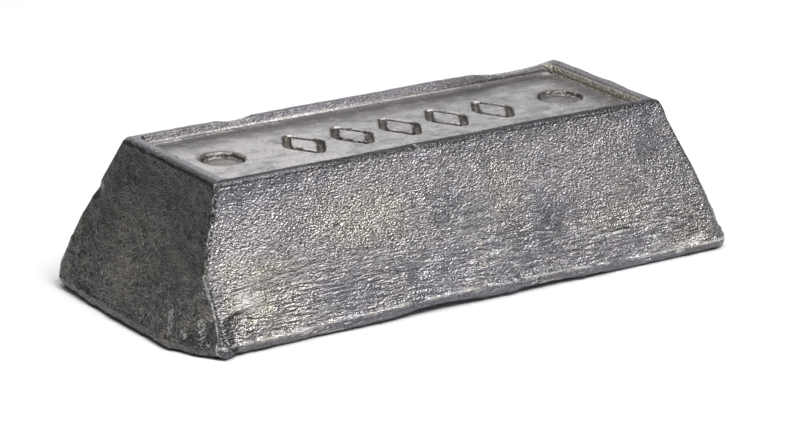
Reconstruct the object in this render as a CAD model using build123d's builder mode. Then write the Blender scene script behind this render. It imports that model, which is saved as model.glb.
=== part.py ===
"""Cast lead ingot: a tapered bar, poured upside down in an open mould, with a sunk panel in its top.

The bar lies on its pour face, the wide one. X runs along the bar, Y across it and Z up from the pour face,
with the origin at the middle of that face. Sizes are in millimetres and angles in degrees.
"""

import os
from math import radians, tan

from build123d import *

# Mould outline at the pour face and at the rim, before the edges are rounded
pour_length = 240.0
pour_width = 107.5
rim_length = 194.0
rim_width = 64.8
height = 57.3

# Corners seen from above: the mould's are nearly sharp, but below the knock height each gets rounder
# towards the pour face, and one of them has had its foot knocked off, further along the end than the front
mould_corner_radius = 1.6
pour_corner_radius = 8.0
knock_along_front = 13.5
knock_along_end = 20.0
knock_height = 28.0

# Edges: the pour face has the skin of the melt curling over, the rim is nearly sharp
pour_edge_radius = 2.5
rim_edge_radius = 0.8

# Sunk panel in the top, with a wide rim at the ends and a thin one along the sides
end_rim = 4.9
side_rim = 2.4
panel_depth = 3.9
panel_wall_lean = 26.0
panel_corner_radius = 3.0
panel_foot_radius = 1.0

# Round marks sunk in the panel near its ends
mark_diameter = 17.2
left_mark_x = -74.5
right_mark_x = 75.5
mark_depth = 1.8
mark_wall_lean = 30.0
mark_crown = 0.6

# Dips in the back rim, where it was knocked down
short_dip_x = -50.0
short_dip_length = 15.0
short_dip_depth = 1.1
long_dip_x = 76.5
long_dip_length = 39.0
long_dip_depth = 2.1

# Shallow sink in the pour face, where the metal shrank as it set. It is wider than the face,
# so it lifts the middle of the long edges, and the bar rests on its two ends
sink_length = 204.0
sink_width = 143.0
sink_depth = 3.3


def arc_radius(chord, rise):
    """Radius of the arc that spans a chord and stands this high above it."""
    return (chord**2 / 4 + rise**2) / (2 * rise)


def part_way(pour_size, rim_size, level):
    """Size of the tapered body at a level, between its sizes at the pour face and at the rim."""
    return pour_size + (rim_size - pour_size) * level / height


panel_length = rim_length - 2 * end_rim
panel_width = rim_width - 2 * side_rim
panel_wall_inset = panel_depth * tan(radians(panel_wall_lean))
panel_foot_y = panel_width / 2 - panel_wall_inset
panel_floor = height - panel_depth
mark_floor = panel_floor - mark_depth
mark_floor_radius = mark_diameter / 2 - mark_depth * tan(radians(mark_wall_lean))
sink_axis_drop = arc_radius(sink_width, sink_depth) - sink_depth

with BuildPart() as ingot:
    # Tapered body, through the rounded outlines of the pour face, the top of the knock and the rim
    with BuildSketch(Plane.XY) as pour_outline:
        Rectangle(pour_length, pour_width)
        knocked_corner = pour_outline.vertices().group_by(Axis.X)[0].sort_by(Axis.Y)[0]
        fillet(pour_outline.vertices().sort_by_distance(knocked_corner)[1:], pour_corner_radius)
        front_edge = pour_outline.edges().sort_by(Axis.Y)[0]
        knocked_corner = pour_outline.vertices().sort_by_distance(knocked_corner)[0]
        chamfer(knocked_corner, knock_along_front, knock_along_end, reference=front_edge)
    with BuildSketch(Plane.XY.offset(knock_height)) as knock_outline:
        RectangleRounded(
            part_way(pour_length, rim_length, knock_height),
            part_way(pour_width, rim_width, knock_height),
            mould_corner_radius,
        )
    with BuildSketch(Plane.XY.offset(height)) as rim_outline:
        RectangleRounded(rim_length, rim_width, mould_corner_radius)
    loft(ruled=True)
    fillet(ingot.edges().group_by(Axis.Z)[0], pour_edge_radius)
    fillet(ingot.edges().group_by(Axis.Z)[-1], rim_edge_radius)

    # Sunk panel with leaning walls, rounded at their foot
    with BuildSketch(Plane.XY.offset(height)) as panel_mouth:
        RectangleRounded(panel_length, panel_width, panel_corner_radius)
    with BuildSketch(Plane.XY.offset(panel_floor)) as panel_foot:
        RectangleRounded(
            panel_length - 2 * panel_wall_inset,
            2 * panel_foot_y,
            panel_corner_radius,
        )
    loft(mode=Mode.SUBTRACT)
    fillet(ingot.edges().filter_by_position(Axis.Z, panel_floor, panel_floor), panel_foot_radius)

    # Round marks: a leaning wall and a slightly crowned floor, turned about each mark's own axis
    for mark_x in (left_mark_x, right_mark_x):
        with BuildSketch(Plane.XZ) as mark_profile:
            with BuildLine():
                mouth = Line((mark_x, panel_floor), (mark_x + mark_diameter / 2, panel_floor))
                wall = Line(mouth @ 1, (mark_x + mark_floor_radius, mark_floor))
                crown_top = (mark_x, mark_floor + mark_crown)
                crown = RadiusArc(wall @ 1, crown_top, -arc_radius(2 * mark_floor_radius, mark_crown))
                Line(crown @ 1, mouth @ 0)
            make_face()
        revolve(axis=Axis((mark_x, 0, 0), (0, 0, 1)), mode=Mode.SUBTRACT)

    # Dips: wide arcs cut across the back rim alone
    for dip_x, dip_length, dip_depth in (
        (short_dip_x, short_dip_length, short_dip_depth),
        (long_dip_x, long_dip_length, long_dip_depth),
    ):
        dip_radius = arc_radius(dip_length, dip_depth)
        with BuildSketch(Plane.XZ.offset(-panel_foot_y)) as dip_profile:
            with Locations((dip_x, height - dip_depth + dip_radius)):
                Circle(dip_radius)
        extrude(amount=panel_foot_y - pour_width / 2, mode=Mode.SUBTRACT)

    # Sink: an arc along the bar, turned about a line far below it, leaves a flat at each end to rest on
    with BuildSketch(Plane.XZ) as sink_profile:
        with BuildLine():
            sag = ThreePointArc((-sink_length / 2, 0), (0, sink_depth), (sink_length / 2, 0))
            Polyline(
                sag @ 1,
                (sink_length / 2, -sink_axis_drop),
                (-sink_length / 2, -sink_axis_drop),
                sag @ 0,
            )
        make_face()
    revolve(axis=Axis((0, 0, -sink_axis_drop), (1, 0, 0)), mode=Mode.SUBTRACT)

ingot.part.label = "ingot"
os.makedirs("parts", exist_ok=True)
export_step(ingot.part, "parts/ingot.step")
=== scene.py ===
"""The cast lead ingot's looks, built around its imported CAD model. Metres, in the CAD model's frame."""

from math import cos, radians, sin
from types import SimpleNamespace

import bpy
from mathutils import Matrix, Vector


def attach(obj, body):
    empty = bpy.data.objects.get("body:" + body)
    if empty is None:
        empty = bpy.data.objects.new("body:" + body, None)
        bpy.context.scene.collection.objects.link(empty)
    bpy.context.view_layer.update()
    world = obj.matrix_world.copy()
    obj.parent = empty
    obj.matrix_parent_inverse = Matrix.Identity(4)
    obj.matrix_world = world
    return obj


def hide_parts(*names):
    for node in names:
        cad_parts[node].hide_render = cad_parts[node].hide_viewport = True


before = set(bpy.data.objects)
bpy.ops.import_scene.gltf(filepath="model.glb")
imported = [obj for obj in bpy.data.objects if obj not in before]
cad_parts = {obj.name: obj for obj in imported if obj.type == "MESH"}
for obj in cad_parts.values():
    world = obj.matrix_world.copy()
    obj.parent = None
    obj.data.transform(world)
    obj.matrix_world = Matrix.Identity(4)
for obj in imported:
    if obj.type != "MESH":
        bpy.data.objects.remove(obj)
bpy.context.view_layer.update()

MM = 0.001

# Camera, as found from the edges of the bar in the photograph, whose frame is 800 by 432 pixels
CAMERA_AZIMUTH = radians(-34.08)
CAMERA_ELEVATION = radians(18.26)
CAMERA_ROLL = radians(0.402)
CAMERA_DISTANCE = 1420.2 * MM
CAMERA_SIDESTEP = 2.09 * MM
CAMERA_RISE = 17.99 * MM
CAMERA_FOCAL_PIXELS = 3804.2
FRAME_PIXELS = 800
SENSOR_WIDTH_MM = 36.0

# The bar's planes, in millimetres: half sizes at the pour face and at the rim, and the levels of the top
POUR_HALF_LENGTH = 120.0
POUR_HALF_WIDTH = 53.75
RIM_HALF_LENGTH = 97.0
RIM_HALF_WIDTH = 32.4
RIM_LEVEL = 57.3
PANEL_LEVEL = 53.4
END_SLOPE = (POUR_HALF_LENGTH - RIM_HALF_LENGTH) / RIM_LEVEL
SIDE_SLOPE = (POUR_HALF_WIDTH - RIM_HALF_WIDTH) / RIM_LEVEL

# Foot: a lip runs just above it, and the sink in the pour face lifts it in the middle of the bar
LIP_LEVEL = 4.1
FOOT_LIFT = 1.5
SINK_HALF_LENGTH = 76.0

# Panel floor: half the difference in its depth from end to end
PANEL_TILT = 0.5

# The longest laps on the front, each from X and Z to X and Z, with its share
LONG_LAPS = (
    ((-99, 21), (-63, 25), 1.0),
    ((-63, 32.8), (-47.5, 36.7), 0.5),
    ((-29, 19.6), (1, 16.4), 0.5),
    ((-27, 35.4), (-18, 36.4), 0.6),
    ((-7, 9.5), (17, 7.7), 0.5),
    ((29, 20.4), (40, 18.9), 0.6),
    ((50, 18), (55.5, 18.2), 0.8),
    ((55.4, 14.3), (72.6, 14.3), 1.0),
    ((76, 15.8), (101, 15), 0.5),
    ((78, 36.1), (92, 34.4), 0.5),
)

# Row of lozenges sunk in the panel between the round marks
LOZENGE_COUNT = 5
LOZENGE_PITCH = 21.0 * MM
LOZENGE_ROW_X = 2.0 * MM
LOZENGE_LENGTH = 24.0 * MM
LOZENGE_WIDTH = 14.5 * MM
LOZENGE_CUTS = 9
LOZENGE_GROOVE_RADIUS = 1.7 * MM
LOZENGE_ROUGHNESS = 0.25 * MM
LOZENGE_LEVEL = (PANEL_LEVEL + 0.2) * MM

# Skin: its even mesh, and the parts of the top where it is finer
VOXEL = 1.1 * MM
FINE_LEVEL = 53.0
FINE_HALF_LENGTH = 89.3
FINE_HALF_WIDTH = 27.3
MARKS_MIDDLE_X = 0.5
MARKS_HALF_SPAN = 75.0
MARK_LEVEL = 50.0
MARK_REACH = 10.0

# Patches on the front, each with its middle in X and Z, half length, half height and share:
# where it is a little glossier and painted paler as a painted sheen, and where it has gone dull
BRIGHT_PATCHES = (
    ((-93, 18), 11, 10, 1.0),
    ((-90, 26), 17, 11, 0.55),
    ((-38, 37), 24, 10, 0.4),
    ((24, 40), 9, 10, 0.35),
    ((66, 19), 24, 5, 0.45),
    ((99, 5), 12, 4, 0.8),
)
DULL_PATCHES = (
    ((0, 32), 15, 11, 0.7),
    ((33, 19), 18, 12, 0.6),
    ((-43, 14), 22, 7, 0.5),
    ((-78, 48), 26, 6, 0.4),
)

# Patches of the same kind where the front is stained a warm or a cool grey
WARM_PATCHES = (
    ((-82, 17), 24, 19, 1.0),
    ((-40, 38), 24, 16, 1.0),
    ((22, 33), 10, 18, 0.8),
    ((68, 27), 27, 14, 0.6),
    ((101, 12), 10, 13, 0.9),
    ((63, 49), 17, 5, 0.7),
)
COOL_PATCHES = (
    ((-54, 14), 17, 12, 1.0),
    ((4, 12), 36, 12, 1.0),
    ((43, 25), 15, 21, 0.9),
    ((88, 47), 15, 9, 0.8),
    ((66, 8), 23, 6, 0.8),
    ((-75, 52), 26, 5, 0.8),
)

# White flecks low on the left end, each from Y and Z to Y and Z, with its half width
END_FLECKS = (
    ((-13.2, 7.6), (-14.0, 4.6), 0.5),
    ((-30.5, 12.5), (-33.0, 6.5), 1.8),
    ((-38.5, 7.5), (-39.5, 6.0), 0.9),
    ((-43.5, 11.5), (-45.5, 6.0), 1.5),
)

# Other lines on the front, each from X and Z to X and Z, with its half width: two scratches, a sunk
# crescent, the folds over the lump at the knocked corner and the blot beside it, both painted shade, and a
# painted highlight on the right foot
SCRATCHES = (
    ((-52, 8.6), (-42, 14), 0.35),
    ((-11.5, 34), (-9.6, 27.4), 0.4),
)
CRESCENT = (
    ((39, 43), (49, 39.8), 0.6),
    ((49, 39.8), (60, 38.6), 0.6),
)
CORNER_FOLDS = (
    ((-104, 12.6), (-95.5, 14.2), 1.1),
    ((-103.5, 11.5), (-102.5, 3), 2.4),
)
CORNER_BLOT = ((-108.5, 10), (-107, 4), 3.0)
RIGHT_FOOT_HIGHLIGHT = ((93, 3.6), (104, 6.2), 2.2)

# Ovals with a middle, half length and half height: the brightest spot, a painted highlight, in X and Z, and
# the middle of the left end, in Y and Z, where a net of fine ridges shows
BRIGHT_SPOT = ((-93, 17.5), 6, 5.5)
END_MIDDLE = ((4, 24), 22, 22)

# The knocked corner: how high it reaches, and how far along the front at the pour face
KNOCK_HEIGHT = 28.0
KNOCK_ALONG_FRONT = 13.5

# Knocks, lumps and lifted edges from handling and the mould, each with its place, its move and its reach
KNOCKS = (
    # Lump of metal at the knocked corner's foot, with a dent and a fold above it
    ((-107, -52, 1), (-0.4, -2.6, 0), 6),
    ((-112, -45, 1), (-1.6, -1.2, 0), 9),
    ((-97, -49, 11), (0.6, 1.8, 0.2), 5),
    ((-94, -47, 17), (0, -0.9, 0), 5),
    ((-97, -51, 6), (0, -0.8, 0), 3.5),
    # Back left foot, rounded off more than the mould's corners
    ((-115, 50, 1), (1.8, -1.6, 1.0), 9),
    ((-118, 38, 1), (1.2, 0, 0.7), 22),
    # Swelling on the front right corner, just under the rim
    ((97, -33, 54), (0.6, -0.3, 0), 6),
    # Long edge of the pour face, lifted unevenly
    ((-12, -52, 1), (0, 0.3, 0.8), 26),
    ((35, -52, 1), (0, 0.2, 0.6), 30),
    # Nicks in the rim and in the back left corner
    ((-91.5, 0, 57.3), (0.6, 0, -0.8), 2.2),
    ((-13, -32.4, 57), (0, 0.5, -0.5), 1.8),
    ((-104.8, 37.6, 36.7), (0.9, -0.5, 0), 3.5),
)

# Relief of the skin: the size of its waves, lumps and pebbles, their height all over, what the sides add to
# that, the heights of what stands on the sides, the unevenness of the round marks and the wear of the rim
WAVE_SIZE, LUMP_SIZE, PEBBLE_SIZE = 24.0, 6.5, 2.2
WAVE_HEIGHT, LUMP_HEIGHT, PEBBLE_HEIGHT = 0.5, 0.2, 0.1
SIDE_WAVE_HEIGHT, SIDE_LUMP_HEIGHT, SIDE_PEBBLE_HEIGHT = 1.6, 0.9, 0.5
LAP_RISE, LIP_RISE, BEAD_RISE, LONG_LAP_RISE = 0.5, 0.4, 0.2, 0.25
BEAD_SIZE = 1.9
MARK_RADIUS = 8.0
MARK_PEBBLE_SIZE, MARK_PEBBLE_HEIGHT = 1.8, 1.2
RIM_WEAR = 0.5

# Bands, in millimetres, from where a part of the bar is absent to where it is whole: the rim's inner edge,
# under the planes of the sides, the sunk panel's depth, under the rim, and the level of the resting foot
RIM_INNER_EDGE = (1.2, 2.6)
SUNK_DEPTH = (6.5, 5.0)
RESTING_FOOT = (2.0, 0.5)

# Noise in the finish, in millimetres
CLOUD_SIZE = 15.0
BLOTCH_SIZE = 5.0
SPECKLE_SIZE = 1.1
LAP_PATCH_SIZE = 18.0
END_GRAIN_SIZE = 0.8
NET_SIZE = 3.2

# Half widths of the longest laps, in the relief and in the finish, and how far above each its shade lies
LONG_LAP_WIDTH = 1.4
LAP_WIDTH = 0.45
LAP_SHADE_RISE = 0.6

# Leathery skin of the casting, in millimetres
GRAIN_SIZE = 0.64
GRAIN_HEIGHT = 0.58
WRINKLE_HEIGHT = 0.6
LEDGE_HEIGHT = 0.22
# Shares of painted highlight on the skin's upward faces and of painted shade on its undersides
UPPER_PAINTED_HIGHLIGHT = 0.64
UNDER_PAINTED_SHADE = 0.95
FULL_OVERHANG = 0.05
FINE_SIZE = 0.4
FINE_HEIGHT = 0.05
ROUGHNESS = 0.28
METALLIC = 0.92

# Colours of the lead
BLUE_GREY = (0.30, 0.283, 0.305, 1)
PALE = (0.60, 0.58, 0.565, 1)
SLATE = (0.185, 0.176, 0.197, 1)
WARM = (0.52, 0.48, 0.405, 1)
# The left end's dark grey: partly dark oxide, partly painted shade
END_OXIDE_AND_SHADE_GREY = (0.132, 0.127, 0.124, 1)
RIDGE_GREY = (0.215, 0.205, 0.19, 1)
SHADE = (0.09, 0.088, 0.1, 1)
# Dusk: painted shade on the panel, also darkening the back wall's ends
DUSK = (0.13, 0.123, 0.11, 1)
# Grime, which in the grooves and round marks also stands in for their shade
GRIME_AND_SHADE = (0.07, 0.064, 0.052, 1)
BLACK = (0.02, 0.02, 0.02, 1)
OLIVE = (0.62, 0.585, 0.50, 1)
# White of the painted highlights
HIGHLIGHT_WHITE = (0.80, 0.79, 0.78, 1)

# What a warm and a cool stain multiply the colour by
OCHRE_STAIN = (1.015, 1.005, 0.945, 1)
BLUE_STAIN = (0.98, 0.985, 1.03, 1)

# Studio: floor, surround and soft lights. Each light has its azimuth, clockwise from the back as seen from
# above, its elevation, both in degrees, its power in watts and its side in metres
FLOOR_SIZE = 12
FLOOR_WHITE = (0.95, 0.95, 0.95, 1)
SURROUND_GREY = (0.06, 0.06, 0.06, 1)
SOFTBOX_DISTANCE = 1.6
SOFTBOX_CLEARANCE = 0.02
SOFTBOXES = (
    ("back right softbox", 30, 12, 4.6, 0.9),
    ("front softbox", 165, 60, 24, 1.0),
    ("front right softbox", 148, 28, 0.5, 0.5),
    ("overhead softbox", 330, 75, 11, 0.9),
)


class Link:
    """A socket of a node tree that takes part in sums, each of which adds the node that works it out."""

    def __init__(self, tree, socket):
        self.tree = tree
        self.socket = socket

    def node(self, kind, settings, inputs, output=0):
        """Adds a node: its settings are set first, then its sockets are filled or linked."""
        made = self.tree.nodes.new(kind)
        for name, value in settings.items():
            setattr(made, name, value)
        for name, value in inputs.items():
            if isinstance(value, Link):
                self.tree.links.new(value.socket, made.inputs[name])
            else:
                made.inputs[name].default_value = value
        return Link(self.tree, made.outputs[output])

    def math(self, operation, *others):
        """A sum of this number and any others."""
        return self.node("ShaderNodeMath", {"operation": operation}, dict(enumerate((self, *others))))

    def __add__(self, other):
        return self.math("ADD", other)

    __radd__ = __add__

    def __sub__(self, other):
        return self.math("SUBTRACT", other)

    def __rsub__(self, other):
        return self.node("ShaderNodeMath", {"operation": "SUBTRACT"}, {0: other, 1: self})

    def __mul__(self, other):
        return self.math("MULTIPLY", other)

    __rmul__ = __mul__

    def __abs__(self):
        return self.math("ABSOLUTE")

    def least(self, other):
        """The lesser of two numbers."""
        return self.math("MINIMUM", other)

    def most(self, other):
        """The greater of two numbers."""
        return self.math("MAXIMUM", other)

    def step(self, low, high):
        """Rises smoothly from 0 at low to 1 at high. With low above high it falls."""
        return self.node(
            "ShaderNodeMapRange",
            {"interpolation_type": "SMOOTHSTEP"},
            {"Value": self, "From Min": low, "From Max": high},
        )

    def vector(self, operation, *others, output=0):
        """A sum of this vector and any others."""
        inputs = dict(enumerate((self, *others)))
        return self.node("ShaderNodeVectorMath", {"operation": operation}, inputs, output)

    def scaled(self, x, y, z):
        """A vector stretched along each axis."""
        return self.vector("MULTIPLY", (x, y, z))

    def dot(self, other):
        """The dot product of two vectors."""
        return self.vector("DOT_PRODUCT", other, output=1)

    def times(self, number):
        """A vector scaled by a number that may vary."""
        return self.node("ShaderNodeVectorMath", {"operation": "SCALE"}, {"Vector": self, "Scale": number})

    def noise(self, scale, detail=2.0, distortion=0.0):
        """Cloudy noise over a vector, from about 0.2 to 0.8."""
        inputs = {"Vector": self, "Scale": scale, "Detail": detail, "Distortion": distortion}
        return self.node("ShaderNodeTexNoise", {}, inputs)

    def axis(self, number):
        """One of a vector's three numbers."""
        return self.node("ShaderNodeSeparateXYZ", {}, {0: self}, number)

    def tint(self, other, share, blend="MIX"):
        """This colour mixed with another, or multiplied by it, by a share from 0 to 1."""
        return self.node(
            "ShaderNodeMix",
            {"data_type": "RGBA", "blend_type": blend},
            {0: share, 6: self, 7: other},
            2,
        )


def add_camera():
    """The photograph's viewpoint: a long lens from the front left, a little above the bar."""
    back = Vector((
        sin(CAMERA_AZIMUTH) * cos(CAMERA_ELEVATION),
        -cos(CAMERA_AZIMUTH) * cos(CAMERA_ELEVATION),
        sin(CAMERA_ELEVATION),
    ))
    level_right = Vector((cos(CAMERA_AZIMUTH), sin(CAMERA_AZIMUTH), 0))
    level_up = back.cross(level_right)
    right = level_right * cos(CAMERA_ROLL) + level_up * sin(CAMERA_ROLL)
    up = level_up * cos(CAMERA_ROLL) - level_right * sin(CAMERA_ROLL)
    eye = back * CAMERA_DISTANCE + right * CAMERA_SIDESTEP + up * CAMERA_RISE

    bpy.ops.object.camera_add(location=eye)
    camera = bpy.context.object
    camera.matrix_world = Matrix.Translation(eye) @ Matrix((right, up, back)).transposed().to_4x4()
    camera.data.sensor_width = SENSOR_WIDTH_MM
    camera.data.lens = CAMERA_FOCAL_PIXELS / FRAME_PIXELS * SENSOR_WIDTH_MM
    bpy.context.scene.camera = camera


def apply_modifier(piece, modifier):
    """Makes a modifier's result the piece's own mesh."""
    bpy.ops.object.select_all(action="DESELECT")
    piece.select_set(True)
    bpy.context.view_layer.objects.active = piece
    bpy.ops.object.modifier_apply(modifier=modifier.name)


def copy_of_solid():
    """The CAD bar as a new piece, with its loose triangles merged into one skin."""
    piece = bpy.data.objects.new("cast_bar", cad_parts["ingot"].data.copy())
    bpy.context.scene.collection.objects.link(piece)
    bpy.ops.object.select_all(action="DESELECT")
    piece.select_set(True)
    bpy.context.view_layer.objects.active = piece
    bpy.ops.object.mode_set(mode="EDIT")
    bpy.ops.mesh.select_all(action="SELECT")
    bpy.ops.mesh.remove_doubles(threshold=0.001 * MM)
    bpy.ops.object.mode_set(mode="OBJECT")
    return piece


def sink_lozenges(piece):
    """Cuts a row of lozenges into the panel's floor, each a groove with a round bottom."""
    row = []
    for number in range(LOZENGE_COUNT):
        x = LOZENGE_ROW_X + (number - (LOZENGE_COUNT - 1) / 2) * LOZENGE_PITCH
        bpy.ops.object.select_all(action="DESELECT")
        bpy.ops.mesh.primitive_circle_add(vertices=4, radius=1, location=(x, 0, LOZENGE_LEVEL))
        lozenge = bpy.context.object
        lozenge.scale = (LOZENGE_WIDTH / 2, LOZENGE_LENGTH / 2, 1)
        bpy.ops.object.transform_apply(location=True, rotation=True, scale=True)
        bpy.ops.object.mode_set(mode="EDIT")
        bpy.ops.mesh.select_all(action="SELECT")
        bpy.ops.mesh.subdivide(number_cuts=LOZENGE_CUTS)
        bpy.ops.mesh.vertices_smooth(factor=0.5, repeat=3)
        bpy.ops.object.mode_set(mode="OBJECT")
        bpy.ops.object.convert(target="CURVE")
        lozenge.data.bevel_depth = LOZENGE_GROOVE_RADIUS
        bpy.ops.object.convert(target="MESH")
        row.append(lozenge)
    for lozenge in row:
        lozenge.select_set(True)
    bpy.ops.object.join()
    cutter = bpy.context.object
    bpy.ops.object.mode_set(mode="EDIT")
    bpy.ops.mesh.select_all(action="SELECT")
    bpy.ops.transform.vertex_random(offset=LOZENGE_ROUGHNESS, seed=7)
    bpy.ops.object.mode_set(mode="OBJECT")
    cut = piece.modifiers.new("cut", "BOOLEAN")
    cut.operation = "DIFFERENCE"
    cut.solver = "MANIFOLD"
    cut.object = cutter
    apply_modifier(piece, cut)
    bpy.data.objects.remove(cutter)


def on_rim(x, y, z):
    """Whether a place, in millimetres, is on the rim or on the panel's walls."""
    return z > FINE_LEVEL and (abs(x) > FINE_HALF_LENGTH or abs(y) > FINE_HALF_WIDTH)


def at_mark(x, y, z):
    """Whether a place, in millimetres, is in or just round one of the round marks."""
    mark_x = abs(x - MARKS_MIDDLE_X) - MARKS_HALF_SPAN
    return z > MARK_LEVEL and max(abs(mark_x), abs(y)) < MARK_REACH


def remesh(piece):
    """An even skin, fine enough to take the casting's relief, and finer on the rim and at the marks."""
    skin = piece.modifiers.new("skin", "REMESH")
    skin.mode = "VOXEL"
    skin.voxel_size = VOXEL
    apply_modifier(piece, skin)
    for wanted in (on_rim, at_mark):
        select_faces(piece, wanted)
        bpy.ops.object.mode_set(mode="EDIT")
        bpy.ops.mesh.subdivide(number_cuts=1)
        bpy.ops.object.mode_set(mode="OBJECT")
    fit = piece.modifiers.new("fit", "SHRINKWRAP")
    fit.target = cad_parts["ingot"]
    apply_modifier(piece, fit)


def select_faces(piece, wanted):
    """Selects the faces whose middle, in millimetres, is wanted."""
    bpy.ops.object.mode_set(mode="EDIT")
    bpy.ops.mesh.select_mode(type="FACE")
    bpy.ops.mesh.select_all(action="DESELECT")
    bpy.ops.object.mode_set(mode="OBJECT")
    for face in piece.data.polygons:
        x, y, z = face.center / MM
        face.select = wanted(x, y, z)


def face_depths(place):
    """How far a point of the bar lies under the planes of its faces, in millimetres."""
    x, y, z = place.axis(0), place.axis(1), place.axis(2)
    half_length = POUR_HALF_LENGTH - END_SLOPE * z
    half_width = POUR_HALF_WIDTH - SIDE_SLOPE * z
    return SimpleNamespace(
        left=half_length + x,
        right=half_length - x,
        front=half_width + y,
        back=half_width - y,
        top=RIM_LEVEL - z,
    )


def sunk_in_rim(depths):
    """1 in the panel and on its walls, inside the rim, and 0 outside it."""
    side_depth = depths.left.least(depths.right).least(depths.front).least(depths.back)
    return side_depth.step(*RIM_INNER_EDGE) * depths.top.step(*SUNK_DEPTH)


def edge_nearness(depths):
    """1 on the upright corners and the rim's outer edge, 0 a little way off them."""
    end, side = depths.left.least(depths.right), depths.front.least(depths.back)
    upright = end + side
    rim = end.least(side) + depths.top
    return upright.least(rim).step(4.0, 1.0)


def foot_line(x):
    """Level of the lip just above the foot, which the sink lifts in the middle of the bar."""
    return LIP_LEVEL + (1 - x * x * (1 / SINK_HALF_LENGTH**2)).most(0) * FOOT_LIFT


def strongest(shares):
    """The most of a set of shares at each point."""
    top_share = shares[0]
    for share in shares[1:]:
        top_share = top_share.most(share)
    return top_share


def stroke(place, start, end, width):
    """1 along a straight line on a face and 0 beyond its half width.

    Its ends are given by the first and third numbers of their places.
    """
    run = Vector((end[0] - start[0], 0, end[1] - start[1]))
    offset = place.vector("MULTIPLY_ADD", (1, 0, 1), (-start[0], 0, -start[1]))
    along = offset.node("ShaderNodeClamp", {}, {"Value": offset.dot(run / run.length_squared)})
    nearest = offset.node("ShaderNodeVectorMath", {"operation": "SCALE"}, {"Vector": run, "Scale": along})
    off = offset.vector("SUBTRACT", nearest)
    return off.dot(off).step(width * width, 0)


def strokes(place, lines):
    """A set of strokes, each with its own half width."""
    return strongest([stroke(place, *line) for line in lines])


def long_lap_strokes(place, width):
    """The longest laps on the front, drawn this wide, each with its share of full strength."""
    return strongest([stroke(place, start, end, width) * share for start, end, share in LONG_LAPS])


def patch(place, middle, half_length, half_height, ragged):
    """1 in the middle of a ragged oval on a face and 0 outside it.

    Its middle is given by the first and third numbers of its place.
    """
    stretch = (1 / half_length, 0, 1 / half_height)
    shift = (-middle[0] / half_length, 0, -middle[1] / half_height)
    offset = place.vector("MULTIPLY_ADD", stretch, shift)
    return (offset.dot(offset) + ragged).step(1.2, 0.1)


def patches(place, ovals, ragged):
    """A set of patches, each with its share of full strength."""
    return strongest([patch(place, *oval[:3], ragged) * oval[3] for oval in ovals])


def relief_height(place):
    """How far the skin stands out along its normal at each place, both in millimetres."""
    x, y, z = place.axis(0), place.axis(1), place.axis(2)
    depths = face_depths(place)
    inside_rim = sunk_in_rim(depths)
    sides = 1 - inside_rim
    edge = edge_nearness(depths)
    calm = sides * (1 - 0.9 * edge)

    # Slow waves, lumps and pebbles, drawn out along the bar and calmer on the edges
    lengthwise = place.scaled(0.6, 1, 1)
    waves = lengthwise.noise(1 / WAVE_SIZE, 1.0) - 0.5
    lumps = lengthwise.noise(1 / LUMP_SIZE, 2.0) - 0.5
    pebbles = lengthwise.noise(1 / PEBBLE_SIZE, 1.0) - 0.5
    height = waves * (SIDE_WAVE_HEIGHT * sides * (1 - 0.5 * edge) + WAVE_HEIGHT)
    height = height + lumps * (SIDE_LUMP_HEIGHT * calm + LUMP_HEIGHT)
    height = height + pebbles * (SIDE_PEBBLE_HEIGHT * calm + PEBBLE_HEIGHT)

    # Uneven walls of the round marks
    mark_x = abs(x - MARKS_MIDDLE_X) - MARKS_HALF_SPAN
    mark_wall = abs(mark_x * mark_x + y * y - MARK_RADIUS**2).step(40, 10) * inside_rim
    height = height + mark_wall * (place.noise(1 / MARK_PEBBLE_SIZE, 1.0) - 0.5) * MARK_PEBBLE_HEIGHT

    # Laps of the cooling metal, the lip above the foot, and beads along the edges
    lap_lines = abs(place.scaled(0.05, 0.25, 0.32).noise(1.0, 2.0, 0.6) - 0.5).step(0.04, 0.0)
    lap_patches = lengthwise.noise(1 / 22).step(0.45, 0.6)
    laps = lap_lines * lap_patches * z.step(46, 16)
    lip = abs(z - foot_line(x) + lumps * 2).step(1.0, 0.1) * lengthwise.noise(1 / 9).step(0.38, 0.55)
    beads = edge * (lengthwise.noise(1 / BEAD_SIZE, 1.0) - 0.5)
    long_laps = long_lap_strokes(place, LONG_LAP_WIDTH) * depths.front.step(3, 1)
    standing = laps * LAP_RISE + lip * LIP_RISE + beads * BEAD_RISE + long_laps * LONG_LAP_RISE
    height = height + sides * standing

    # The rim's outer half is worn down, and the panel is a little deeper at the right than at the left
    rim_wear = depths.top.step(1.2, 0.2) * depths.left.least(depths.right).least(depths.front).step(2.6, 0.0)
    height = height - rim_wear * RIM_WEAR
    height = height - inside_rim * depths.top.step(2.4, 3.2) * x * (PANEL_TILT / RIM_HALF_LENGTH)

    # What rests on the floor only ever moves inwards
    resting = z.step(*RESTING_FOOT)
    return height * (1 - resting) - abs(height) * resting


def add_relief(piece):
    """Raises and sinks the skin along its normals."""
    tree = bpy.data.node_groups.new("casting relief", "GeometryNodeTree")
    tree.interface.new_socket("Geometry", in_out="INPUT", socket_type="NodeSocketGeometry")
    tree.interface.new_socket("Geometry", in_out="OUTPUT", socket_type="NodeSocketGeometry")
    skin = Link(tree, tree.nodes.new("NodeGroupInput").outputs[0])
    place = skin.node("GeometryNodeInputPosition", {}, {}).scaled(1 / MM, 1 / MM, 1 / MM)
    normal = skin.node("GeometryNodeInputNormal", {}, {})
    offset = normal.times(relief_height(place) * MM)
    moved = skin.node("GeometryNodeSetPosition", {}, {"Geometry": skin, "Offset": offset})
    out = tree.nodes.new("NodeGroupOutput")
    tree.links.new(moved.socket, out.inputs[0])

    relief = piece.modifiers.new("relief", "NODES")
    relief.node_group = tree
    apply_modifier(piece, relief)


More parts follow.
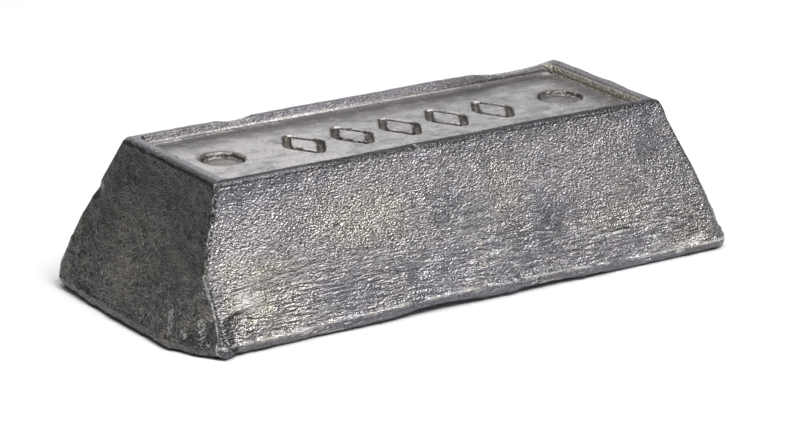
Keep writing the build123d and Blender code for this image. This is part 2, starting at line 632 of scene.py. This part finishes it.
def press(piece, place, move, reach):
    """Pushes or pulls the skin at a place, with what is within reach following smoothly. Millimetres."""
    face = piece.closest_point_on_mesh(Vector(place) * MM)[3]
    bpy.ops.object.mode_set(mode="EDIT")
    bpy.ops.mesh.select_mode(type="FACE")
    bpy.ops.mesh.select_all(action="DESELECT")
    bpy.ops.object.mode_set(mode="OBJECT")
    piece.data.polygons[face].select = True
    bpy.ops.object.mode_set(mode="EDIT")
    bpy.ops.transform.translate(
        value=Vector(move) * MM,
        use_proportional_edit=True,
        proportional_edit_falloff="SMOOTH",
        proportional_size=reach * MM,
    )
    bpy.ops.object.mode_set(mode="OBJECT")


def knock_about(piece):
    """Gives the bar its own knocks, lumps and lifted edges."""
    for place, move, reach in KNOCKS:
        press(piece, place, move, reach)


def cast_skin(place, lap_patches):
    """The grain, and the leathery skin's height: grain all over, and wrinkles and ledges lower down."""
    z = place.axis(2)
    grain = place.scaled(0.7, 1, 1).noise(1 / GRAIN_SIZE, 2.0) - 0.5
    wrinkles = (place.scaled(0.16, 1, 1).noise(1 / 0.95, 1.0) - 0.5) * z.step(36, 14)
    ledges = (place.scaled(0.05, 0.2, 0.3).noise(1.0, 2.0, 0.5) * 3).math("FRACT")
    ledges = ledges * lap_patches.step(0.42, 0.58) * z.step(46, 20)
    return grain, grain * GRAIN_HEIGHT + wrinkles * WRINKLE_HEIGHT + ledges * LEDGE_HEIGHT


def skin_noises(place):
    """The noises that the lead's finish is made of."""
    cloud = place.noise(1 / CLOUD_SIZE, 3.0)
    blotch = place.scaled(0.8, 1, 1.2).noise(1 / BLOTCH_SIZE, 3.0)
    lengthwise = place.scaled(0.7, 1, 1)
    lap_patches = lengthwise.noise(1 / LAP_PATCH_SIZE)
    grain, height = cast_skin(place, lap_patches)
    higher_place = place.vector("ADD", (0, 0, GRAIN_SIZE * 0.3))
    higher_height = cast_skin(higher_place, lap_patches)[1]
    return SimpleNamespace(
        cloud=cloud,
        blotch=blotch,
        ragged=cloud + blotch - 1,
        lengthwise=lengthwise,
        lap_patches=lap_patches,
        grain=grain,
        height=height,
        overhang=higher_height - height,
        fine=place.noise(1 / FINE_SIZE, 1.0) - 0.5,
        speckle=place.noise(1 / SPECKLE_SIZE, 3.0),
        end_grain=place.noise(1 / END_GRAIN_SIZE, 1.0) - 0.5,
    )


def panel_parts(place, depths, noises):
    """The parts of the sunk panel and the rim round it, each 1 where it is whole and 0 outside it."""
    x, y = place.axis(0), place.axis(1)
    right, back, top = depths.right, depths.back, depths.top
    inside_rim = sunk_in_rim(depths)
    depth = top - x * (PANEL_TILT / RIM_HALF_LENGTH)
    floor = inside_rim * depth.step(3.0, 3.7)
    back_shade = back.step(23, 11) * (0.72 - back.step(9.5, 7) * 0.25)
    back_wall = inside_rim * (1 - floor) * back.step(8, 7)
    mark_x = abs(x - MARKS_MIDDLE_X) - MARKS_HALF_SPAN
    mark_floor = inside_rim * (mark_x * mark_x + y * y).step(60, 46)
    stain_y = y - 1.5
    stain_reach = mark_x * mark_x + stain_y * stain_y + noises.ragged * 30
    # A dark line along the rim's front and left edges, painted shade
    rim_line = abs(top + depths.front.least(depths.left) - 1.4).step(0.8, 0.2)
    return SimpleNamespace(
        inside_rim=inside_rim,
        tray=inside_rim.most(top.step(0.9, 0.4)),
        panel=inside_rim * top.step(1.5, 3.0),
        floor=floor,
        # Painted shade on the floor along the back wall and the right wall
        back_band_shade=floor * back_shade.most(right.step(20, 8) * 0.6),
        # Painted highlight along the foot of the back wall
        wall_foot_highlight=back_wall * top.step(2.0, 2.7) * x.step(62, 30) * x.step(-70, -20),
        # The back wall darker towards its right end, and painted shade of the rim's dip at its left
        wall_darkening=back_wall * (x.step(25, 60) * 0.65).most(x.step(-32, -44) * 0.35),
        right_wall=inside_rim * right.step(8.6, 7.6) * top.step(4.2, 3.6) * top.step(0.3, 1.2),
        mark_floor=mark_floor,
        mark_darkening=inside_rim * stain_reach.step(100, 60),
        recess=inside_rim * depth.step(4.2, 4.7) * (1 - mark_floor),
        rim_line=rim_line * (1 - inside_rim) * back.step(2, 4),
    )


def side_parts(place, depths, noises, top_parts):
    """The left end and the front, with what marks them, each 1 where it is whole and 0 outside it."""
    x, y, z = place.axis(0), place.axis(1), place.axis(2)
    left, front = depths.left, depths.front
    knock = (left + front * 0.7).step(17, 13) * z.step(27, 22)
    end_foot = left.step(8, 5) * z.step(8, 4) * front.step(2, 4)
    left_end = left.step(2.0, 0.6).most(knock * front.step(0.8, 1.8)).most(end_foot)
    left_end = left_end * (1 - top_parts.tray)
    front_face = front.step(2.6, 1.0) * (1 - left_end)

    # Net of fine ridges in the middle of the left end, and white flecks low down on it
    end_place = place.node("ShaderNodeCombineXYZ", {}, {0: y, 1: x, 2: z})
    bend = place.noise(1 / 4, 0.0)
    bent = place.node("ShaderNodeCombineXYZ", {}, {0: x * 0.2, 1: y + bend * 5, 2: z * 1.3 - bend * 4})
    net_inputs = {"Vector": bent, "Scale": 1 / NET_SIZE}
    cells = bent.node("ShaderNodeTexVoronoi", {"feature": "DISTANCE_TO_EDGE"}, net_inputs)
    end_middle = patch(end_place, *END_MIDDLE, noises.ragged * 1.6)
    flecks = strokes(end_place, END_FLECKS) * left.step(14, 10)

    # Laps, the lip above the foot, and the beaded corner
    lap_lines = abs(place.scaled(0.06, 0.3, 0.5).noise(1.0, 2.0, 0.8) - 0.5).step(0.06, 0.0)
    foot_height = z - foot_line(x)
    lip = abs(foot_height + noises.grain).step(0.8, 0.1)
    wavering_z = z + noises.blotch * 2 - 1 + noises.grain * 0.8
    wavering = place.node("ShaderNodeCombineXYZ", {}, {0: x, 1: y, 2: wavering_z})
    above = wavering.vector("SUBTRACT", (0, 0, LAP_SHADE_RISE))
    beads = front.step(1.3, 0.5) * left.step(2.2, 0.8) * place.noise(1 / 1.3, 1.0).step(0.52, 0.6)

    # The knocked corner's crease, which runs out along the front towards the foot
    corner_run = left - (1 - z * (1 / KNOCK_HEIGHT)).most(0) * KNOCK_ALONG_FRONT
    crease_line = left.step(1.2, 0.4).most(knock) * front.step(1.5, 1.1) * front.step(0.6, 1.0)
    return SimpleNamespace(
        left_end=left_end,
        front_face=front_face,
        net=cells.step(0.13, 0.04) * left_end * (0.06 + end_middle * 0.94),
        flecks=flecks * noises.end_grain.step(-0.12, 0.08),
        laps=lap_lines * noises.lap_patches.step(0.48, 0.6) * z.step(46, 16),
        lip=lip * noises.lengthwise.noise(1 / 7).step(0.36, 0.5),
        # The band along the foot, painted dark as its shadow
        foot=(foot_height + noises.grain * 1.5).step(-0.3, -1.2),
        long_laps=long_lap_strokes(wavering, LAP_WIDTH) * front_face,
        lap_shade=long_lap_strokes(above, LAP_WIDTH) * front_face,
        scratches=strokes(place, SCRATCHES + CRESCENT) * front_face,
        beads=beads,
        crease=front.step(1.2, 0.5) * corner_run.step(2.0, 1.4) * corner_run.step(0.4, 0.9),
        crease_line=crease_line * place.noise(1 / 2.4, 2.0).step(0.4, 0.65),
        # The folds and the blot at the knocked corner, painted shade
        fold=strokes(wavering, CORNER_FOLDS) * front.step(6, 4),
        corner_blot=stroke(place, *CORNER_BLOT) * front.step(14, 10),
    )


def front_stains_and_sheen(place, noises, sides):
    """How far the front has a painted sheen, has gone dull and is stained, how rugged that leaves it, and
    where its brightest painted highlights lie.
    """
    outline = noises.ragged * 1.6
    hue_outline = noises.ragged * 3.2
    under_rim = place.axis(2).step(50, 54.5) * 0.8
    dull = patches(place, DULL_PATCHES, outline).most(under_rim) * sides.front_face
    warmth = patches(place, WARM_PATCHES, hue_outline) * sides.front_face
    coolness = patches(place, COOL_PATCHES, hue_outline) * sides.front_face
    right_foot = stroke(place, *RIGHT_FOOT_HIGHLIGHT) * noises.blotch.step(0.4, 0.5)
    return SimpleNamespace(
        bright=patches(place, BRIGHT_PATCHES, outline) * sides.front_face,
        dull=dull,
        warmth=warmth,
        coolness=coolness,
        rugged=1 + warmth * 0.15 - coolness * 0.25 - dull * 0.2,
        spot=patch(place, *BRIGHT_SPOT, outline).most(right_foot) * sides.front_face,
    )


def painted_highlights(noises, sides, stains_and_sheen):
    """Where the lead is painted white: painted highlights on the crease, bright spots and laps, and the
    white flecks on the left end.
    """
    laps = (sides.laps * 0.35).most(sides.lip * 0.5) * sides.front_face
    laps = (sides.long_laps * 0.8).most(laps) * noises.grain.step(-0.2, 0.1)
    spots = stains_and_sheen.spot * (0.15 + 0.7 * noises.grain.step(-0.1, 0.1))
    return (sides.crease_line * 0.8).most(sides.flecks * 0.45).most(spots).most(laps)


def lead_colour(place, depths, noises, top_parts, sides, stains_and_sheen, painted_highlight):
    """The lead's colour, from its blue-grey ground up to its painted highlights."""
    x, z = place.axis(0), place.axis(2)
    left_end, front_face = sides.left_end, sides.front_face
    tray, panel, floor = top_parts.tray, top_parts.panel, top_parts.floor
    ragged, blotch = noises.ragged, noises.blotch
    speckle, end_grain = noises.speckle, noises.end_grain
    upper = noises.overhang.step(0.0, -FULL_OVERHANG) * stains_and_sheen.rugged * (1 - tray)
    under = noises.overhang.step(0.0, FULL_OVERHANG) * stains_and_sheen.rugged * (1 - tray)

    # Ground of the front, the panel and the left end: the front's sheen patches are painted paler, the panel
    # is painted lighter towards its left as painted light, and the left end's dark grey is partly dark
    # oxide, partly painted shade
    ground = {0: stains_and_sheen.dull, 6: BLUE_GREY, 7: SLATE}
    colour = place.node("ShaderNodeMix", {"data_type": "RGBA"}, ground, 2)
    colour = colour.tint(PALE, stains_and_sheen.bright.most(panel * (0.38 + x.step(-10, -50) * 0.3)))
    colour = colour.tint(END_OXIDE_AND_SHADE_GREY, left_end * (0.92 - ragged * 0.2).least(1))
    colour = colour.tint(RIDGE_GREY, left_end * z.step(20, 48) * 0.28)
    colour = colour.tint(BLACK, left_end * end_grain.step(0.0, -0.14) * 0.8)
    colour = colour.tint(RIDGE_GREY, (sides.net * 0.8).most(left_end * end_grain.step(0.0, 0.14) * 0.8))

    # Tops of the leathery skin painted pale, and warm in places, as painted highlight; its undersides
    # painted dark as painted shade; and the foot painted dark as painted shadow
    colour = colour.tint(PALE, upper * UPPER_PAINTED_HIGHLIGHT * (1 - left_end * 0.85))
    colour = colour.tint(SHADE, under * UNDER_PAINTED_SHADE * (1 - left_end * 0.3))
    colour = colour.tint(WARM, stains_and_sheen.bright.most(ragged.step(0.02, 0.2) * 0.5) * upper)
    colour = colour.tint(SLATE, sides.foot * (1 - left_end * 0.9))

    # Panel: darker towards the back and the right as painted shade, with a painted highlight along the back
    # wall's foot, mottled all over
    right_shade = panel * x.step(-40, 60) * 0.18
    colour = colour.tint(DUSK, top_parts.back_band_shade.most(right_shade).most(top_parts.wall_darkening))
    colour = colour.tint(PALE, top_parts.wall_foot_highlight * 0.8)
    rim_dulling = depths.top.step(1.2, 0.4) * (0.8 - depths.right.step(6, 4) * 0.4)
    colour = colour.tint(SLATE, (tray - panel) * rim_dulling)
    colour = colour.tint(SLATE, tray * (ragged * 1.5).most(0))
    colour = colour.tint(SLATE, floor * blotch.step(0.5, 0.8) * 0.5)
    colour = colour.tint(PALE, floor * blotch.step(0.5, 0.25) * 0.4)
    colour = colour.tint(SHADE, tray * speckle.step(0.5, 0.75) * 0.6)
    colour = colour.tint(PALE, (tray - floor) * speckle.step(0.5, 0.25) * 0.5)
    # Right wall: pale olive, partly its olive tone, partly painted light
    colour = colour.tint(OLIVE, top_parts.right_wall * 0.9)
    colour = colour.tint(GRIME_AND_SHADE, top_parts.right_wall * speckle.step(0.48, 0.62) * 0.45)

    # Dark brown in the round marks and the grooves: partly grime, partly painted shade
    colour = colour.tint(GRIME_AND_SHADE, (top_parts.recess * 0.95).most(top_parts.mark_darkening * 0.6))
    marked = top_parts.recess.most(top_parts.mark_floor * 0.7)
    colour = colour.tint(OLIVE, marked * speckle.step(0.5, 0.7) * 0.5)

    # Painted shade in the corner blot, the creases, folds, rim line and above laps; painted highlights on
    # beads and laps; stains; and painted highlights over all
    painted_shade_lines = (sides.crease * 0.7).most(sides.fold * 0.8)
    painted_shade_lines = painted_shade_lines.most(top_parts.rim_line * 0.6).most(sides.lap_shade * 0.7)
    laps = (sides.lip * 0.9).most(sides.laps * 0.4) * front_face
    colour = colour.tint(SHADE, sides.corner_blot * 0.75)
    colour = colour.tint(BLACK, painted_shade_lines)
    colour = colour.tint(PALE, (sides.beads * (1 - tray)).most(laps))
    colour = colour.tint(OCHRE_STAIN, stains_and_sheen.warmth.most(left_end * z.step(46, 30) * 0.6), "MULTIPLY")
    colour = colour.tint(BLUE_STAIN, stains_and_sheen.coolness.most(left_end * z.step(36, 48) * 0.6), "MULTIPLY")
    return colour.tint(HIGHLIGHT_WHITE, painted_highlight)


def lead_roughness(depths, noises, top_parts, sides, stains_and_sheen):
    """How rough the lead is: rougher in the panel, most of all at its right, and in its grooves."""
    rough = ROUGHNESS + noises.ragged * 0.1 + sides.left_end * 0.05
    rough = rough - stains_and_sheen.bright * 0.03 + stains_and_sheen.dull * 0.03
    rough = rough + top_parts.tray * 0.16 + top_parts.recess * 0.2
    return rough + top_parts.inside_rim * depths.right.step(16, 9) * 0.16


def lead_bumps(noises, top_parts, sides, stains_and_sheen):
    """Height of the skin that is too fine for the mesh, in millimetres."""
    speckle = noises.speckle
    leathery = 1 - top_parts.tray * 0.55 - top_parts.floor * 0.26 + top_parts.recess * 0.4
    rugged = stains_and_sheen.rugged + stains_and_sheen.bright * 0.4 - sides.left_end * 0.15
    skin = noises.height * leathery * (0.5 + noises.cloud) * rugged
    skin = skin + noises.fine * leathery * FINE_HEIGHT
    skin = skin + (sides.laps * 0.6 + sides.lip * 0.5 + sides.beads * 0.5) * leathery
    skin = skin + sides.long_laps * 0.3 - sides.lap_shade * 0.2 - sides.scratches * 0.3 + sides.net * 0.2
    skin = skin + top_parts.floor * (speckle * 0.2 + noises.blotch * 0.5)
    return skin + top_parts.right_wall * speckle * 0.8


def lead_material():
    """Cast lead: dull blue-grey metal with a leathery skin."""
    material = bpy.data.materials.new("cast lead")
    material.use_nodes = True
    tree = material.node_tree
    shader = tree.nodes["Principled BSDF"]
    coordinates = tree.nodes.new("ShaderNodeTexCoord")
    place = Link(tree, coordinates.outputs["Object"]).scaled(1 / MM, 1 / MM, 1 / MM)
    depths = face_depths(place)
    noises = skin_noises(place)
    top_parts = panel_parts(place, depths, noises)
    sides = side_parts(place, depths, noises, top_parts)
    stains_and_sheen = front_stains_and_sheen(place, noises, sides)
    painted_highlight = painted_highlights(noises, sides, stains_and_sheen)
    colour = lead_colour(place, depths, noises, top_parts, sides, stains_and_sheen, painted_highlight)
    metallic = METALLIC - painted_highlight * 0.8
    roughness = lead_roughness(depths, noises, top_parts, sides, stains_and_sheen)
    bumps = lead_bumps(noises, top_parts, sides, stains_and_sheen)
    bump = bumps.node("ShaderNodeBump", {}, {"Strength": 1.0, "Distance": MM, "Height": bumps})
    tree.links.new(colour.socket, shader.inputs["Base Color"])
    tree.links.new(metallic.socket, shader.inputs["Metallic"])
    tree.links.new(roughness.socket, shader.inputs["Roughness"])
    tree.links.new(bump.socket, shader.inputs["Normal"])
    return material


def build_bar():
    """The whole cast bar, from the CAD solid's skin to its finish."""
    piece = copy_of_solid()
    remesh(piece)
    knock_about(piece)
    add_relief(piece)
    sink_lozenges(piece)
    bpy.ops.object.shade_smooth()
    piece.data.materials.clear()
    piece.data.materials.append(lead_material())
    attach(piece, "root")
    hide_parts("ingot")


def add_softbox(name, azimuth, elevation, power, side):
    """A square soft light that faces the bar and stays clear of the floor."""
    turn, lift = radians(azimuth), radians(elevation)
    direction = Vector((sin(turn) * cos(lift), cos(turn) * cos(lift), sin(lift)))
    place = direction * SOFTBOX_DISTANCE
    place.z = max(place.z, side / 2 + SOFTBOX_CLEARANCE)
    bpy.ops.object.light_add(type="AREA", location=place)
    lamp = bpy.context.object
    lamp.name = name
    lamp.data.shape = "SQUARE"
    lamp.data.size = side
    lamp.data.energy = power
    lamp.rotation_euler = direction.to_track_quat("Z", "Y").to_euler()
    lamp.visible_camera = False


def add_studio():
    """White floor, dim surround and soft lights."""
    bpy.ops.mesh.primitive_plane_add(size=FLOOR_SIZE)
    floor = bpy.context.object
    floor.name = "floor"
    white = bpy.data.materials.new("white floor")
    white.use_nodes = True
    shader = white.node_tree.nodes["Principled BSDF"]
    shader.inputs["Base Color"].default_value = FLOOR_WHITE
    shader.inputs["Roughness"].default_value = 1.0
    shader.inputs["Specular IOR Level"].default_value = 0.0
    floor.data.materials.append(white)

    world = bpy.data.worlds.new("studio")
    bpy.context.scene.world = world
    world.use_nodes = True
    background = world.node_tree.nodes["Background"]
    background.inputs["Color"].default_value = SURROUND_GREY
    background.inputs["Strength"].default_value = 1.0

    for softbox in SOFTBOXES:
        add_softbox(*softbox)


build_bar()
add_camera()
add_studio()
bpy.context.scene.view_settings.view_transform = "Standard"
